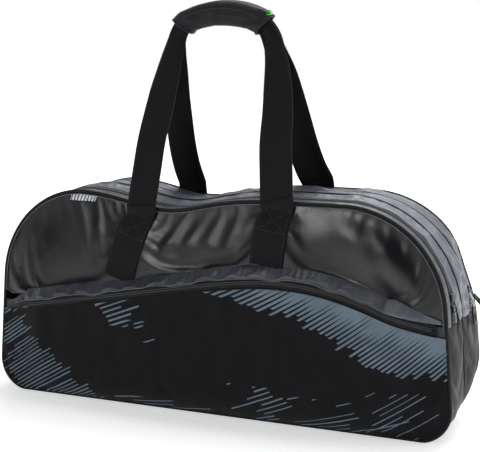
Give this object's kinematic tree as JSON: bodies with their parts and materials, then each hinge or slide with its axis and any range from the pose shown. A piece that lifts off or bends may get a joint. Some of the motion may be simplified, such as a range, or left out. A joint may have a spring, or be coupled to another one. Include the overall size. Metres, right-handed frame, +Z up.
{
  "type": "racket tournament bag",
  "caption": "Boxy racket bag with rounded shoulders, side-by-side zipped compartments, an arched zipped front pocket and webbing handles joined by a padded wrap.",
  "frame": {"origin": "centre of the overall box in plan, on the surface the bag stands on", "axes": "+X along the bag's length, -Y towards the front pocket, +Z up"},
  "size_m": [0.7607, 0.2131, 0.6177],
  "materials": {
    "coated_black": "glossy coated fabric",
    "printed_black": "matte printed fabric",
    "slate": "satin coated fabric",
    "silver_grey": "satin coated fabric",
    "piping": "woven piping",
    "tape": "woven tape",
    "teeth": "moulded coil",
    "metal_black": "black enamel",
    "rubber_black": "moulded rubber",
    "webbing": "ribbed webbing",
    "wrap": "padded fabric",
    "gusset_black": "coated fabric",
    "lining": "lining fabric",
    "board": "stiffener board",
    "reflective": "reflective film",
    "green": "woven tab"
  },
  "bodies": {
    "shell": {"front_lower_gusset": "gusset_black", "rear_lower_gusset": "gusset_black", "top_strip_between_zips_front": "silver_grey", "top_strip_between_zips_rear": "silver_grey", "front_zip_rear_tape": "tape", "front_zip_rear_teeth": "teeth", "rear_zip_front_teeth": "teeth", "divider_piping": "piping", "front_lower_piping": "piping", "rear_lower_piping": "piping", "divider_panel": "lining", "front_base_board": "board", "rear_base_board": "board", "front_lower_wall": "coated_black", "pocket_zip_upper_teeth": "teeth", "pocket_zip_upper_tape": "tape", "pocket_placket": "slate", "pocket_zip_end_tab": "slate", "rear_lower_wall": "coated_black", "front_zip_end_slider": "metal_black", "front_zip_end_slider_bridge": "metal_black", "rear_zip_end_slider": "metal_black", "rear_zip_end_slider_bridge": "metal_black"},
    "front_lid": {"front_upper_panel": "coated_black", "front_upper_piping": "piping", "front_top_strip": "slate", "front_zip_front_tape": "tape", "front_zip_front_teeth": "teeth", "front_strap_anchor_left": "webbing", "front_strap_anchor_right": "webbing", "reflective_patch": "reflective"},
    "rear_lid": {"rear_upper_panel": "coated_black", "rear_upper_piping": "piping", "rear_top_strip": "silver_grey", "rear_zip_rear_teeth": "teeth", "rear_strap_anchor_left": "webbing", "rear_strap_anchor_right": "webbing"},
    "pocket_mouth": {"pocket_front_panel": "printed_black", "pocket_zip_lower_tape": "tape", "pocket_zip_lower_teeth": "teeth"},
    "front_handle": {"front_handle_webbing": "webbing", "grip_wrap_front": "wrap", "grip_label_tab": "green"},
    "grip_flap": {"grip_wrap_flap": "wrap"},
    "rear_handle": {"rear_handle_webbing": "webbing"},
    "front_slider": {"front_zip_slider": "metal_black", "front_zip_slider_bridge": "metal_black"},
    "front_pull": {"front_zip_pull": "rubber_black"},
    "front_end_pull": {"front_zip_end_pull": "rubber_black"},
    "rear_slider": {"rear_zip_slider": "metal_black", "rear_zip_slider_bridge": "metal_black"},
    "rear_pull": {"rear_zip_pull": "rubber_black"},
    "rear_end_pull": {"rear_zip_end_pull": "rubber_black"},
    "pocket_slider": {"pocket_zip_slider": "metal_black"},
    "pocket_pull": {"pocket_zip_pull": "rubber_black"}
  },
  "joints": [
    {"name": "front_lid_open", "type": "hinge", "parent": "shell", "child": "front_lid", "pos_m": [-0.0091, -0.1166, 0.152], "axis": [1, 0, 0], "range_deg": [0, 25]},
    {"name": "rear_lid_open", "type": "hinge", "parent": "shell", "child": "rear_lid", "pos_m": [-0.0091, 0.1194, 0.15], "axis": [-1, 0, 0], "range_deg": [0, 35]},
    {"name": "pocket_mouth_open", "type": "hinge", "parent": "shell", "child": "pocket_mouth", "pos_m": [-0.0091, -0.0726, 0.0052], "axis": [1, 0, 0], "range_deg": [0, 10]},
    {"name": "front_handle_fold", "type": "hinge", "parent": "front_lid", "child": "front_handle", "pos_m": [-0.0091, -0.0761, 0.312], "axis": [1, 0, 0], "range_deg": [0, 130]},
    {"name": "rear_handle_fold", "type": "hinge", "parent": "rear_lid", "child": "rear_handle", "pos_m": [-0.0091, 0.0934, 0.334], "axis": [-1, 0, 0], "range_deg": [0, 130]},
    {"name": "grip_flap_open", "type": "hinge", "parent": "front_handle", "child": "grip_flap", "pos_m": [-0.0091, 0.0236, 0.621], "axis": [1, 0, 0], "range_deg": [0, 110]},
    {"name": "front_zip_run", "type": "hinge", "parent": "shell", "child": "front_slider", "pos_m": [0.19401, -0.0371, 0.17195], "axis": [0, -1, 0], "range_deg": [0, 78]},
    {"name": "rear_zip_run", "type": "hinge", "parent": "shell", "child": "rear_slider", "pos_m": [0.18651, 0.0529, 0.16607], "axis": [0, -1, 0], "range_deg": [0, 77]},
    {"name": "pocket_zip_run", "type": "slide", "parent": "pocket_mouth", "child": "pocket_slider", "axis": [0.9832, 0, 0.1826], "range_m": [0, 0.28]},
    {"name": "front_pull_swing", "type": "hinge", "parent": "front_slider", "child": "front_pull", "pos_m": [0.357, -0.0407, 0.20042], "axis": [0, -1, 0], "range_deg": [0, 120]},
    {"name": "front_end_pull_swing", "type": "hinge", "parent": "shell", "child": "front_end_pull", "pos_m": [0.35908, -0.0335, 0.18323], "axis": [0, -1, 0], "range_deg": [0, 120]},
    {"name": "rear_pull_swing", "type": "hinge", "parent": "rear_slider", "child": "rear_pull", "pos_m": [0.35724, 0.0529, 0.19611], "axis": [0, -1, 0], "range_deg": [-28, 90]},
    {"name": "rear_end_pull_swing", "type": "hinge", "parent": "shell", "child": "rear_end_pull", "pos_m": [0.35945, 0.0529, 0.1781], "axis": [0, -1, 0], "range_deg": [0, 55]},
    {"name": "pocket_pull_swing", "type": "hinge", "parent": "pocket_slider", "child": "pocket_pull", "pos_m": [-0.3091, -0.1058, 0.1475], "axis": [-1, 0, 0], "range_deg": [0, 120]}
  ],
  "couplings": [
    {"joint": "front_zip_run", "follows": "front_lid_open", "ratio": 3.1},
    {"joint": "rear_zip_run", "follows": "rear_lid_open", "ratio": 2.2},
    {"joint": "pocket_zip_run", "follows": "pocket_mouth_open", "m_per_rad": 1.604}
  ]
}
